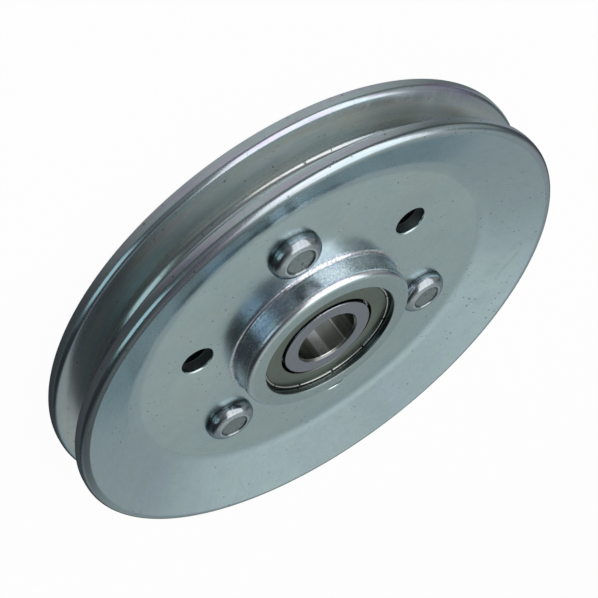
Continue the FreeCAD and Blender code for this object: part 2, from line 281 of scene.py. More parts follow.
def around_axis(tree, shape, count, radius, first_angle):
    """The shape repeated on a circle about Z, as real geometry."""
    ring = place(tree, "GeometryNodeMeshCircle", {"Vertices": count, "Radius": radius})
    turned = place(tree, "GeometryNodeTransform",
                   {"Geometry": ring.outputs["Mesh"], "Rotation": along_z(tree, first_angle)})
    spread = place(tree, "GeometryNodeInstanceOnPoints",
                   {"Points": turned.outputs["Geometry"], "Instance": shape})
    real = place(tree, "GeometryNodeRealizeInstances", {"Geometry": spread.outputs["Instances"]})
    return real.outputs["Geometry"]


def build_pressed_half(turned):
    """A pressed half: turned boss and rim, and a flat web between them with two sets of holes."""
    tree, given = start_shape("pressed_half", {
        "Outlines": "Geometry", "Steps Around": "Int", "Hole Steps": "Int", "Corner Steps": "Int",
        "Sheet": "Float", "Front Inner": "Float", "Front Outer": "Float", "Back Inner": "Float",
        "Back Outer": "Float", "Hole Circle": "Float", "Hole Count": "Int", "First Hole": "Float",
        "Hole Mouth": "Float", "Hole Radius": "Float", "Rivet Hole": "Float", "First Rivet": "Float",
        "Side": "Float", "Finish": "Material"})

    def turn_outline(number, steps):
        outline = pick_outline(tree, given["Outlines"], number)
        return turn(tree, turned, outline, given["Corner Steps"], steps)

    def spread_holes(shape):
        return around_axis(tree, shape, given["Hole Count"], given["Hole Circle"], given["First Hole"])

    def spread_rivets(shape):
        return around_axis(tree, shape, given["Hole Count"], given["Hole Circle"], given["First Rivet"])

    def flat_web(inner, outer, hole):
        edges = join(tree, circle(tree, inner, given["Steps Around"]),
                     circle(tree, outer, given["Steps Around"]),
                     spread_holes(circle(tree, hole, given["Hole Steps"])),
                     spread_rivets(circle(tree, given["Rivet Hole"], given["Hole Steps"])))
        return place(tree, "GeometryNodeFillCurve", {"Curve": edges}, mode="TRIANGLES").outputs["Mesh"]

    front = place(tree, "GeometryNodeTransform",
                  {"Geometry": flat_web(given["Front Inner"], given["Front Outer"], given["Hole Mouth"]),
                   "Translation": along_z(tree, given["Sheet"])})
    back = flat_web(given["Back Inner"], given["Back Outer"], given["Hole Radius"])
    body = turn_outline(BODY_OUTLINES, given["Steps Around"])
    holes = spread_holes(turn_outline(HOLE_OUTLINE, given["Hole Steps"]))
    rivet_holes = spread_rivets(turn_outline(RIVET_HOLE_OUTLINE, given["Hole Steps"]))
    parts = join(tree, body, holes, rivet_holes, front.outputs["Geometry"], back)
    return finish_shape(tree, parts, given["Side"], given["Finish"])


def build_rivet_ring(turned):
    """Upset rivets on a circle, each head a little out of round from the press."""
    tree, given = start_shape("rivet_ring", {
        "Outline": "Geometry", "Steps Around": "Int", "Corner Steps": "Int", "Circle": "Float",
        "Count": "Int", "First Rivet": "Float", "Foot": "Float", "Unevenness": "Float", "Seed": "Float",
        "Finish": "Material"})
    rivet = turn(tree, turned, given["Outline"], given["Corner Steps"], given["Steps Around"])
    position = tree.nodes.new("GeometryNodeInputPosition").outputs["Position"]
    marked = place(tree, "GeometryNodeStoreNamedAttribute", data_type="FLOAT_VECTOR", domain="POINT")
    marked.inputs["Name"].default_value = "rivet_spot"
    tree.links.new(rivet, marked.inputs["Geometry"])
    tree.links.new(position, marked.inputs["Value"])
    marked_rivet = marked.outputs["Geometry"]
    ring = around_axis(tree, marked_rivet, given["Count"], given["Circle"], given["First Rivet"])
    swells_per_metre = 260.0
    swell = place(tree, "ShaderNodeTexNoise", noise_dimensions="4D")
    tree.links.new(given["Seed"], swell.inputs["W"])
    swell.inputs["Scale"].default_value = swells_per_metre
    swell.inputs["Detail"].default_value = 1.0
    offset = times(tree, reckon(tree, "SUBTRACT", swell.outputs["Fac"], 0.5), given["Unevenness"])
    height = place(tree, "ShaderNodeSeparateXYZ", {"Vector": position}).outputs["Z"]
    on_head = reckon(tree, "GREATER_THAN", reckon(tree, "ABSOLUTE", height), given["Foot"])
    normal = tree.nodes.new("GeometryNodeInputNormal").outputs["Normal"]
    uneven = place(tree, "GeometryNodeSetPosition",
                   {"Geometry": ring, "Offset": stretch(tree, normal, times(tree, offset, on_head))})
    finished = place(tree, "GeometryNodeSetMaterial",
                     {"Geometry": uneven.outputs["Geometry"], "Material": given["Finish"]})
    return end_group(tree, {"Geometry": finished.outputs["Geometry"]})


def build_shield(turned):
    """A stamped shield: a turned plate, and a crimped bead round it in short lengths between notches."""
    tree, given = start_shape("crimped_shield", {
        "Outline": "Geometry", "Steps Around": "Int", "Corner Steps": "Int", "Bead Circle": "Float",
        "Bead Radius": "Float", "Bead Height": "Float", "Notches": "Int", "Notch": "Float",
        "First Notch": "Float", "Side": "Float", "Finish": "Material"})
    arc_steps = 24
    bead_steps = 14
    plate = turn(tree, turned, given["Outline"], given["Corner Steps"], given["Steps Around"])
    pitch = reckon(tree, "DIVIDE", math.tau, given["Notches"])
    gap = reckon(tree, "DIVIDE", given["Notch"], given["Bead Circle"])
    arc = place(tree, "GeometryNodeCurveArc",
                {"Resolution": arc_steps, "Radius": given["Bead Circle"],
                 "Start Angle": times(tree, gap, 0.5),
                 "Sweep Angle": reckon(tree, "SUBTRACT", pitch, gap)}, mode="RADIUS")
    length = place(tree, "GeometryNodeCurveToMesh",
                   {"Curve": arc.outputs["Curve"],
                    "Profile Curve": circle(tree, given["Bead Radius"], bead_steps), "Fill Caps": True})
    step = tree.nodes.new("GeometryNodeInputIndex").outputs["Index"]
    angle = add_up(tree, times(tree, step, pitch), given["First Notch"])
    points = place(tree, "GeometryNodePoints",
                   {"Count": given["Notches"], "Position": along_z(tree, given["Bead Height"])})
    beads = place(tree, "GeometryNodeInstanceOnPoints",
                  {"Points": points.outputs["Points"], "Instance": length.outputs["Mesh"],
                   "Rotation": along_z(tree, angle)})
    parts = join(tree, plate, beads.outputs["Instances"])
    return finish_shape(tree, parts, given["Side"], given["Finish"])


def draw_outlines(name, *numbered):
    """A mesh of outlines in numbered sets, each a list of (radius, height, rounding) in millimetres."""
    points, edges, rounding, number = [], [], [], []
    for index, outlines in enumerate(numbered):
        for outline in outlines:
            first = len(points)
            points += [(radius * MM, height * MM, 0) for radius, height, _ in outline]
            edges += [(first + i, first + i + 1) for i in range(len(outline) - 1)]
            rounding += [corner * MM for _, _, corner in outline]
            number += [index] * len(outline)
    mesh = bpy.data.meshes.new(name)
    mesh.from_pydata(points, edges, [])
    mesh.attributes.new("rounding", "FLOAT", "POINT").data.foreach_set("value", rounding)
    mesh.attributes.new("number", "INT", "POINT").data.foreach_set("value", number)
    return mesh


def run_tree(name, outlines, tree, values):
    """Runs the tree on the outlines and keeps the result as a plain closed mesh in its place."""
    weld = 2 * MICRON
    sharp_edge = math.radians(32)
    drawn = bpy.data.objects.new(name + "_drawn", outlines)
    shaping = drawn.modifiers.new("shaping", "NODES")
    shaping.node_group = tree
    for item in tree.interface.items_tree:
        if item.in_out == "INPUT" and item.name in values:
            shaping[item.identifier] = values[item.name]
    bpy.context.scene.collection.objects.link(drawn)
    graph = bpy.context.evaluated_depsgraph_get()
    mesh = bpy.data.meshes.new_from_object(drawn.evaluated_get(graph), depsgraph=graph)
    bpy.data.objects.remove(drawn)
    mesh.name = name
    shell = bmesh.new()
    shell.from_mesh(mesh)
    bmesh.ops.remove_doubles(shell, verts=shell.verts, dist=weld)
    bmesh.ops.dissolve_degenerate(shell, edges=shell.edges, dist=MICRON)
    bmesh.ops.recalc_face_normals(shell, faces=shell.faces)
    shell.to_mesh(mesh)
    shell.free()
    mesh.shade_smooth()
    mesh.set_sharp_from_angle(angle=sharp_edge)
    piece = bpy.data.objects.new(name, mesh)
    bpy.context.scene.collection.objects.link(piece)
    return piece


def add_piece(piece, node):
    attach(piece, "pulley")
    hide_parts(node)


def press_halves(tree, finish):
    boss = [(WEB_FRONT[0], SHEET, 0), (BOSS_RADIUS, SHEET, BOSS_BASE_ROUNDING),
            (BOSS_RADIUS, BOSS_TOP, BOSS_ROUNDING), (LIP_RADIUS, BOSS_TOP, LIP_ROUNDING),
            (LIP_RADIUS, BEARING_TOP, LIP_CORNER), (SEAT_RADIUS, BEARING_TOP, 0),
            (SEAT_RADIUS, 0, 0)]
    rim = [(WEB_BACK[1], 0, 0), (GROOVE_FLOOR, 0, 0), (GROOVE_FLOOR, GROOVE_CORNER, GROOVE_ROUNDING),
           (RIM_RADIUS, GROOVE_TOP, RIM_ROUNDING), (RIM_RADIUS, RIM_TOP, RIM_ROUNDING),
           (RIM_CREST, RIM_TOP, RIM_CREST_ROUNDING), (WEB_EDGE, SHEET, BEND), (WEB_FRONT[1], SHEET, 0)]
    mouth_rounding = WEB_HOLE_MOUTH - WEB_HOLE
    hole = [(WEB_HOLE_MOUTH, SHEET, 0), (WEB_HOLE, SHEET, mouth_rounding), (WEB_HOLE, 0, 0)]
    rivet_hole = [(RIVET_HOLE, SHEET, 0), (RIVET_HOLE, 0, 0)]
    for node, side in (("front_half", 1.0), ("rear_half", -1.0)):
        outlines = draw_outlines(node + "_outlines", [boss, rim], [hole], [rivet_hole])
        piece = run_tree(node.replace("half", "pressing"), outlines, tree, {
            "Steps Around": 320, "Hole Steps": 72, "Corner Steps": 12, "Sheet": SHEET * MM,
            "Front Inner": WEB_FRONT[0] * MM, "Front Outer": WEB_FRONT[1] * MM,
            "Back Inner": WEB_BACK[0] * MM, "Back Outer": WEB_BACK[1] * MM,
            "Hole Circle": RIVET_CIRCLE * MM, "Hole Count": RIVET_COUNT, "First Hole": FIRST_HOLE,
            "Hole Mouth": WEB_HOLE_MOUTH * MM, "Hole Radius": WEB_HOLE * MM,
            "Rivet Hole": RIVET_HOLE * MM, "First Rivet": FIRST_RIVET, "Side": side, "Finish": finish})
        add_piece(piece, node)


def set_rivets(tree, finish):
    dish_floor = RIVET_TOP - RIVET_DISH_DEPTH
    outline = [(0, -RIVET_TOP, 0), (RIVET_HEAD, -RIVET_TOP, RIVET_ROUNDING),
               (RIVET_HEAD, -SHEET, RIVET_FOOT_ROUNDING), (RIVET_SHANK, -SHEET, 0),
               (RIVET_SHANK, SHEET, 0), (RIVET_HEAD, SHEET, RIVET_FOOT_ROUNDING),
               (RIVET_HEAD, RIVET_TOP, RIVET_ROUNDING), (RIVET_DISH, RIVET_TOP, RIVET_DISH_ROUNDING),
               (RIVET_DISH - RIVET_DISH_DEPTH, dish_floor, RIVET_DISH_ROUNDING), (0, dish_floor, 0)]
    even_foot = 0.2
    piece = run_tree("rivet_set", draw_outlines("rivet_outline", [outline]), tree, {
        "Steps Around": 96, "Corner Steps": 10, "Circle": RIVET_CIRCLE * MM, "Count": RIVET_COUNT,
        "First Rivet": FIRST_RIVET, "Foot": (SHEET + even_foot) * MM, "Unevenness": RIVET_UNEVENNESS * MM,
        "Seed": 3.0, "Finish": finish})
    add_piece(piece, "rivets")


def stamp_shields(tree, finish):
    start = SHIELD_INNER + 0.5
    step = SHIELD_FACE - SHIELD_STEP_DEPTH
    outline = [(start, SHIELD_UNDER, 0), (SHIELD_INNER, SHIELD_UNDER, SHIELD_INNER_ROUNDING),
               (SHIELD_INNER, SHIELD_FACE, SHIELD_INNER_ROUNDING),
               (SHIELD_STEP[0], SHIELD_FACE, SHIELD_STEP_ROUNDING),
               (SHIELD_STEP[1], step, SHIELD_EDGE_ROUNDING), (SHIELD_EDGE, step, SHIELD_EDGE_ROUNDING),
               (SHIELD_EDGE, SHIELD_FLOOR, 0), (SHIELD_FOOT, SHIELD_FLOOR, 0),
               (SHIELD_FOOT, SHIELD_UNDER, 0), (start, SHIELD_UNDER, 0)]
    bead_height = BEARING_TOP - SHIELD_BEAD_SUNK - SHIELD_BEAD
    for node, side in (("front_shield", 1.0), ("rear_shield", -1.0)):
        outlines = draw_outlines(node + "_outline", [outline])
        piece = run_tree(node.replace("shield", "shield_plate"), outlines, tree, {
            "Steps Around": 220, "Corner Steps": 5, "Bead Circle": SHIELD_BEAD_CIRCLE * MM,
            "Bead Radius": SHIELD_BEAD * MM, "Bead Height": bead_height * MM,
            "Notches": SHIELD_NOTCHES, "Notch": SHIELD_NOTCH * MM, "First Notch": FIRST_NOTCH,
            "Side": side, "Finish": finish})
        add_piece(piece, node)


# Surface effects, as shader groups. Each one takes the spot on the piece in millimetres

def start_effect(name, inputs, outputs):
    return start_group("ShaderNodeTree", name, {"Spot": "Vector", **inputs}, outputs)


def use(tree, effect, spot, **inputs):
    """The outputs of an effect at this spot. Its inputs are named in lower case."""
    node = place(tree, "ShaderNodeGroup", node_tree=effect)
    tree.links.new(spot, node.inputs["Spot"])
    for label, value in inputs.items():
        node.inputs[label.capitalize()].default_value = value
    return node.outputs


def blend(tree, share, first, second):
    """A mix of two colours. The Mix node's colour sockets share their names, so they go by number."""
    colour_a, colour_b, result = 6, 7, 2
    mix = place(tree, "ShaderNodeMix", {0: share, colour_a: first, colour_b: second}, data_type="RGBA")
    return mix.outputs[result]


def mottle(tree, spot, size, detail=2.0, distortion=0.0):
    """Noise from 0 to 1 with patches of about that size."""
    node = place(tree, "ShaderNodeTexNoise",
                 {"Vector": spot, "Scale": 1.0 / size, "Detail": detail, "Distortion": distortion})
    return node.outputs["Fac"]


def about_axis(tree, spot):
    """The direction of a spot from the Z axis, its distance from the axis, and its height."""
    flat = stretch(tree, spot, (1.0, 1.0, 0.0))
    outward = place(tree, "ShaderNodeVectorMath", {0: flat}, operation="NORMALIZE").outputs["Vector"]
    radius = place(tree, "ShaderNodeVectorMath", {0: flat}, operation="LENGTH").outputs["Value"]
    height = place(tree, "ShaderNodeSeparateXYZ", {"Vector": spot}).outputs["Z"]
    return outward, radius, height


def glow(tree, direction, centre, inner, outer, strength):
    """A soft patch about a direction, full within the inner angle in degrees and gone past the outer."""
    towards = dot_product(tree, direction, Vector(centre).normalized())
    return ease(tree, towards, math.cos(math.radians(outer)), math.cos(math.radians(inner)), 0.0, strength)


def build_turning_marks():
    """Fine rings from spinning or grinding: noise drawn out along circles about Z."""
    tree, given = start_effect("turning_marks", {"Fineness": "Float", "Breaks": "Float"},
                               {"Marks": "Float"})
    outward, radius, height = about_axis(tree, given["Spot"])
    round_about = stretch(tree, outward, given["Breaks"])
    across = along_z(tree, times(tree, radius, given["Fineness"]))
    drawn = vector_sum(tree, round_about, across)
    rings = place(tree, "ShaderNodeTexNoise", noise_dimensions="4D")
    tree.links.new(drawn, rings.inputs["Vector"])
    tree.links.new(times(tree, height, given["Fineness"]), rings.inputs["W"])
    rings.inputs["Scale"].default_value = 1.0
    rings.inputs["Detail"].default_value = 3.0
    rings.inputs["Roughness"].default_value = 0.6
    return end_group(tree, {"Marks": rings.outputs["Fac"]})


def build_upset_streaks():
    """Streaks that run down a rivet head, where the press drew the metal."""
    tree, given = start_effect("upset_streaks", {"Fineness": "Float"}, {"Streaks": "Float"})
    outward, radius, height = about_axis(tree, given["Spot"])
    round_about = stretch(tree, outward, given["Fineness"])
    down = along_z(tree, add_up(tree, times(tree, height, 0.5), times(tree, radius, 0.35)))
    drawn = vector_sum(tree, round_about, down)
    return end_group(tree, {"Streaks": mottle(tree, drawn, 1.0, detail=3.0)})


def build_scratches():
    """Thin straight scratches that run roughly one way and show here and there."""
    tree, given = start_effect("scratches", {"Direction": "Float", "Spacing": "Float", "Patch": "Float"},
                               {"Scratches": "Float"})
    turned = place(tree, "ShaderNodeVectorRotate", {"Vector": given["Spot"], "Angle": given["Direction"]},
                   rotation_type="Z_AXIS").outputs["Vector"]
    drawn_out = (0.12, 1.0, 0.5)
    line_width = 0.018
    cells = place(tree, "ShaderNodeTexVoronoi", feature="DISTANCE_TO_EDGE")
    tree.links.new(stretch(tree, turned, drawn_out), cells.inputs["Vector"])
    tree.links.new(one_over(tree, given["Spacing"]), cells.inputs["Scale"])
    line = ease(tree, cells.outputs["Distance"], 0.0, line_width, 1.0, 0.0)
    patches = place(tree, "ShaderNodeTexNoise",
                    {"Vector": given["Spot"], "Scale": one_over(tree, given["Patch"]), "Detail": 2.0})
    here_and_there = ease(tree, patches.outputs["Fac"], 0.54, 0.68)
    return end_group(tree, {"Scratches": times(tree, line, here_and_there)})


def build_specks():
    """Small round specks or pits in some of the cells of an uneven lattice, closer in some places."""
    tree, given = start_effect("specks", {"Spacing": "Float", "Share": "Float", "Size": "Float"},
                               {"Specks": "Float"})
    cells = place(tree, "ShaderNodeTexVoronoi",
                  {"Vector": given["Spot"], "Scale": one_over(tree, given["Spacing"])})
    lot = place(tree, "ShaderNodeSeparateColor", {"Color": cells.outputs["Color"]}).outputs["Red"]
    chosen = ease(tree, lot, all_but(tree, given["Share"]), 1.0)
    inside = reckon(tree, "SUBTRACT", times(tree, chosen, given["Size"]), cells.outputs["Distance"])
    crowded = ease(tree, mottle(tree, given["Spot"], 8.0), 0.4, 0.6, 0.25, 1.0)
    return end_group(tree, {"Specks": times(tree, ease(tree, inside, 0.0, 0.06), crowded)})


def build_smudges():
    """Cloudy patches and wiped marks from handling."""
    tree, given = start_effect("smudges", {}, {"Clouds": "Float", "Wipes": "Float"})
    clouds = add_up(tree, times(tree, mottle(tree, given["Spot"], 15.0, distortion=0.5), 0.6),
                    times(tree, mottle(tree, given["Spot"], 3.5, detail=4.0), 0.4))
    swept = place(tree, "ShaderNodeVectorRotate", {"Vector": given["Spot"], "Angle": math.radians(-35)},
                  rotation_type="Z_AXIS").outputs["Vector"]
    wipes = mottle(tree, stretch(tree, swept, (0.3, 1.0, 1.0)), 2.6, detail=4.0, distortion=0.3)
    return end_group(tree, {"Clouds": clouds, "Wipes": ease(tree, wipes, 0.5, 0.72)})


def film_colour(tree, film, stops):
    """The colour of a film by its thickness from 0 to 1, eased between the given stops."""
    ramp = place(tree, "ShaderNodeValToRGB", {"Fac": film})
    edges = ramp.color_ramp.elements
    while len(edges) < len(stops):
        edges.new(0.5)
    for edge, (position, colour) in zip(edges, stops):
        edge.position = position
        edge.color = (*colour, 1.0)
    return ramp.outputs["Color"]


def build_plating_tint(turning_marks):
    """The colours of the passivated plating over the pressing, and where the sides of the groove are."""
    tree, given = start_effect("plating_tint", {"Spread": "Float"}, {"Tint": "Color", "Groove": "Float"})
    _, radius, height = about_axis(tree, given["Spot"])
    drift = reckon(tree, "SUBTRACT", mottle(tree, given["Spot"], 9.0, detail=3.0, distortion=0.8), 0.5)
    bands = use(tree, turning_marks, given["Spot"], fineness=0.6, breaks=2.5)["Marks"]
    on_flank = ease(tree, radius, WEB_FRONT[1], WEB_FRONT[1] + 1.5)
    film = add_up(tree, 0.45, times(tree, drift, given["Spread"]), times(tree, on_flank, -0.15))
    sheet = film_colour(tree, film, ((0.15, (0.55, 0.67, 0.74)), (0.30, (0.55, 0.685, 0.71)),
                                     (0.45, (0.58, 0.71, 0.71)), (0.60, (0.60, 0.71, 0.68))))
    flank_height = add_up(tree, times(tree, radius, FLANK_SLOPE), SHEET - WEB_EDGE * FLANK_SLOPE)
    below_flank = reckon(tree, "SUBTRACT", flank_height, reckon(tree, "ABSOLUTE", height))
    in_groove = ease(tree, below_flank, 1.2, 2.4)
    groove = film_colour(tree, bands, ((0.30, (0.56, 0.68, 0.70)), (0.46, (0.63, 0.71, 0.72)),
                                       (0.58, (0.68, 0.73, 0.68)), (0.70, (0.66, 0.66, 0.76))))
    on_rim = ease(tree, radius, RIM_CREST, RIM_RADIUS - 0.7)
    rim = film_colour(tree, bands, ((0.28, (0.50, 0.54, 0.74)), (0.38, (0.62, 0.62, 0.74)),
                                    (0.47, (0.60, 0.70, 0.72)), (0.58, (0.56, 0.71, 0.75)),
                                    (0.70, (0.68, 0.72, 0.62))))
    off_wall = distance_from(tree, radius, BOSS_RADIUS + 0.1)
    on_wall = ease(tree, off_wall, 0.3, 1.1, 1.0, 0.0)
    wall = film_colour(tree, bands, ((0.35, (0.60, 0.62, 0.78)), (0.50, (0.74, 0.78, 0.80))))
    off_boss = blend(tree, on_rim, blend(tree, in_groove, sheet, groove), rim)
    tint = blend(tree, on_wall, off_boss, wall)
    side = times(tree, ease(tree, radius, GROOVE_FLOOR + 1.0, GROOVE_FLOOR + 2.0),
                 ease(tree, radius, RIM_CREST - 1.0, RIM_CREST + 0.2, 1.0, 0.0))
    return end_group(tree, {"Tint": tint, "Groove": times(tree, in_groove, side)})


def build_skin():
    """The height of a plated or pressed skin in metres: slow waves, peel and grain."""
    tree, given = start_effect("skin", {"Waves": "Float", "Peel": "Float", "Grain": "Float"},
                               {"Height": "Float"})
    waves = times(tree, mottle(tree, given["Spot"], 8.0, detail=1.0), given["Waves"])
    peel = times(tree, mottle(tree, given["Spot"], 1.0), given["Peel"])
    grain = times(tree, mottle(tree, given["Spot"], 0.32, detail=1.0), given["Grain"])
    return end_group(tree, {"Height": times(tree, add_up(tree, waves, peel, grain), MICRON)})


# Finishes

def start_metal(name, edge_tint):
    """A new bare metal: the material, its node tree and the spot on the piece in millimetres."""
    material = bpy.data.materials.new(name)
    material.use_nodes = True
    tree = material.node_tree
    shader = tree.nodes["Principled BSDF"]
    shader.inputs["Metallic"].default_value = 1.0
    shader.inputs["Specular Tint"].default_value = (*edge_tint, 1.0)
    spot = stretch(tree, place(tree, "ShaderNodeTexCoord").outputs["Object"], 1.0 / MM)
    return material, tree, spot


def finish_metal(tree, colour, roughness, height):
    shader = tree.nodes["Principled BSDF"]
    bump = place(tree, "ShaderNodeBump", {"Height": height, "Distance": 1.0})
    tree.links.new(colour, shader.inputs["Base Color"])
    tree.links.new(roughness, shader.inputs["Roughness"])
    tree.links.new(bump.outputs["Normal"], shader.inputs["Normal"])


def painted_shade_and_tones(tree, outward, radius, height):
    """How much of its brightness the plating keeps: painted shade inside the boss lip and on the walls of
    the web holes, and darker tones on the boss face, the flank and the crest of the rim towards one side.
    """
    # Painted shade on the inside wall of the boss lip.
    lip_shade = ease(tree, radius, LIP_RADIUS + 0.02, LIP_RADIUS + 0.3, 0.4, 1.0)
    boss_face = ease(tree, radius, BOSS_RADIUS - BOSS_ROUNDING, BOSS_RADIUS - 0.2, 0.82, 1.0)
    flank = ease(tree, radius, WEB_FRONT[1] + 0.3, WEB_FRONT[1] + 0.7, 1.0, 0.93)
    off_middle = reckon(tree, "ABSOLUTE", height)
    from_holes = distance_from(tree, radius, RIVET_CIRCLE)
    # Painted shade on the walls of the web holes.
    in_hole = times(tree, ease(tree, from_holes, WEB_HOLE + 0.1, WEB_HOLE_MOUTH, 1.0, 0.0),
                    ease(tree, off_middle, SHEET - 0.4, SHEET - 0.15, 1.0, 0.0))
    hole = all_but(tree, times(tree, in_hole, 0.65))
    # The crest of the rim is made darker towards one side.
    from_crest = distance_from(tree, radius, RIM_CREST + 0.5)
    on_crest = times(tree, ease(tree, from_crest, 0.4, 0.8, 1.0, 0.0),
                     ease(tree, off_middle, RIM_TOP - 0.7, RIM_TOP - 0.3))
    darker_side = (0.71, -0.71, 0.0)
    towards_darker_side = dot_product(tree, outward, darker_side)
    crest_darkening = times(tree, on_crest, ease(tree, towards_darker_side, 0.55, 0.95, 0.15, 0.75))
    crest = all_but(tree, crest_darkening)
    return times(tree, times(tree, lip_shade, boss_face), times(tree, times(tree, flank, crest), hole))


def plate_zinc(effects):
    """Bright zinc plate under a passivated film: spinning marks, specks, scratches, a crazed boss foot."""
    material, tree, spot = start_metal("bright_zinc", (0.8, 0.86, 0.9))
    outward, radius, height = about_axis(tree, spot)
    plating = use(tree, effects["plating_tint"], spot, spread=0.5)
    smudges = use(tree, effects["smudges"], spot)
    marks = use(tree, effects["turning_marks"], spot, fineness=2.4, breaks=3.0)["Marks"]
    specks = use(tree, effects["specks"], spot, spacing=0.95, share=0.38, size=0.28)["Specks"]
    along = use(tree, effects["scratches"], spot,
                direction=math.radians(20), spacing=2.6, patch=9.0)["Scratches"]
    across = use(tree, effects["scratches"], spot,
                 direction=math.radians(-55), spacing=3.3, patch=13.0)["Scratches"]
    scratched = reckon(tree, "MAXIMUM", along, across)
    blotches = mottle(tree, spot, 1.1, detail=3.0)
    fillet = ease(tree, distance_from(tree, radius, BOSS_RADIUS + 0.5), 0.35, 0.9, 1.0, 0.0)
    crazed = times(tree, fillet, reckon(tree, "SUBTRACT", mottle(tree, spot, 0.4, detail=3.0), 0.55))
    wall_haze = ease(tree, distance_from(tree, radius, BOSS_RADIUS), 0.05, 0.4, 0.045, 0.0)
    clean_tone = add_up(tree, 0.83, times(tree, smudges["Clouds"], 0.2), times(tree, blotches, 0.12),
                        times(tree, marks, add_up(tree, 0.08, times(tree, plating["Groove"], 0.2))),
                        times(tree, specks, -0.45), times(tree, scratched, -0.08),
                        times(tree, smudges["Wipes"], -0.04), times(tree, crazed, 1.6))
    # The tone takes painted shade inside the boss lip and on the walls of the web holes, and darker tones
    # elsewhere.
    tone = times(tree, painted_shade_and_tones(tree, outward, radius, height), clean_tone)
    roughness = add_up(tree, 0.16, times(tree, smudges["Clouds"], 0.1), times(tree, smudges["Wipes"], 0.05),
                       times(tree, scratched, 0.08), times(tree, specks, 0.2),
                       times(tree, plating["Groove"], 0.1), wall_haze)
    skin = use(tree, effects["skin"], spot, waves=30.0, peel=3.0, grain=1.6)["Height"]
    relief = add_up(tree, skin, times(tree, marks, 1.2 * MICRON), times(tree, scratched, -2.0 * MICRON),
                    times(tree, specks, -5.0 * MICRON), times(tree, crazed, 20.0 * MICRON))
    finish_metal(tree, stretch(tree, plating["Tint"], tone), roughness, relief)
    return material


def plate_rivets(effects):
    """Zinc plate over upset heads: streaks down the sides, a dull dish inside a lip with a painted
    highlight, and painted shade at the foot of each head and in the dish's crease.
    """
    material, tree, spot = start_metal("plated_rivet", (0.6, 0.66, 0.7))
    marked = place(tree, "ShaderNodeAttribute", attribute_name="rivet_spot")
    own_spot = stretch(tree, marked.outputs["Vector"], 1.0 / MM)
    smudges = use(tree, effects["smudges"], spot)
    plated = blend(tree, smudges["Clouds"], (0.60, 0.66, 0.71, 1.0), (0.60, 0.70, 0.71, 1.0))
    streaks = use(tree, effects["upset_streaks"], own_spot, fineness=7.0)["Streaks"]
    rings = use(tree, effects["turning_marks"], own_spot, fineness=3.5, breaks=2.0)["Marks"]
    dents = use(tree, effects["specks"], spot, spacing=1.3, share=0.4, size=0.3)["Specks"]
    scratches = use(tree, effects["scratches"], spot,
                    direction=math.radians(65), spacing=0.8, patch=3.0)["Scratches"]
    _, radius, height = about_axis(tree, own_spot)
    # Painted shade at the foot of each head, where it meets the sheet.
    foot = ease(tree, reckon(tree, "ABSOLUTE", height), SHEET + 0.05, SHEET + 0.9, 0.4, 1.0)
    in_dish = ease(tree, radius, RIVET_DISH - RIVET_DISH_DEPTH - 0.1, RIVET_DISH, 1.0, 0.0)
    tint = blend(tree, in_dish, plated, (0.57, 0.67, 0.65, 1.0))
    # Painted shade in the crease at the foot of the dish, and a painted highlight on the lip round it.
    crease = ease(tree, distance_from(tree, radius, RIVET_DISH - RIVET_DISH_DEPTH), 0.0, 0.3, 0.45, 1.0)
    lip = ease(tree, distance_from(tree, radius, RIVET_DISH + 0.15), 0.1, 0.35, 0.35, 0.0)
    speckle = times(tree, reckon(tree, "SUBTRACT", mottle(tree, spot, 0.35, detail=3.0), 0.5), in_dish)
    wear_and_lip_highlight = add_up(tree, 0.4, times(tree, streaks, 0.5), times(tree, smudges["Clouds"], 0.1), lip,
                  times(tree, dents, -0.25), times(tree, scratches, -0.25),
                  times(tree, speckle, 0.6), times(tree, in_dish, -0.15))
    tone = times(tree, times(tree, foot, crease), wear_and_lip_highlight)
    roughness = add_up(tree, 0.1, times(tree, smudges["Clouds"], 0.1), times(tree, streaks, 0.1),
                       times(tree, dents, 0.1), times(tree, in_dish, 0.2))
    skin = use(tree, effects["skin"], spot, waves=12.0, peel=6.0, grain=2.0)["Height"]
    relief = add_up(tree, skin, times(tree, streaks, 22.0 * MICRON), times(tree, rings, 3.0 * MICRON),
                    times(tree, dents, -9.0 * MICRON), times(tree, scratches, -6.0 * MICRON),
                    times(tree, speckle, 12.0 * MICRON))
    finish_metal(tree, stretch(tree, tint, tone), roughness, relief)
    return material


def shaded_bore(tree, outward, radius):
    """The colour of the bore, darkened with painted shade, with painted reflections on it: a light band, a
    paler stretch beside it, faint streaks and a thin light line.
    """
    # Painted reflections in the bore, at set directions: faint streaks, a light band, a paler stretch and a
    # thin light line.
    bright_band, pale_stretch, thin_line = (0.2, 0.98, 0.0), (-0.2, 0.98, 0.0), (-0.54, 0.84, 0.0)
    streaks = ease(tree, mottle(tree, stretch(tree, outward, 2.4), 1.0, detail=3.0), 0.4, 0.62)
    lighter = add_up(tree, times(tree, streaks, 0.15), glow(tree, outward, bright_band, 8, 12, 0.75),
                  glow(tree, outward, pale_stretch, 10, 28, 0.25),
                  glow(tree, outward, thin_line, 0.5, 1.8, 1.0))
    off_chamfer = ease(tree, radius, BORE_RADIUS + 0.03, BORE_RADIUS + 0.15, 1.0, 0.1)
    bright = times(tree, lighter, off_chamfer)
    # Dark painted shade in the bore, lighter where the painted reflections fall.
    return blend(tree, bright, (0.22, 0.23, 0.20, 1.0), (0.90, 0.93, 0.96, 1.0))


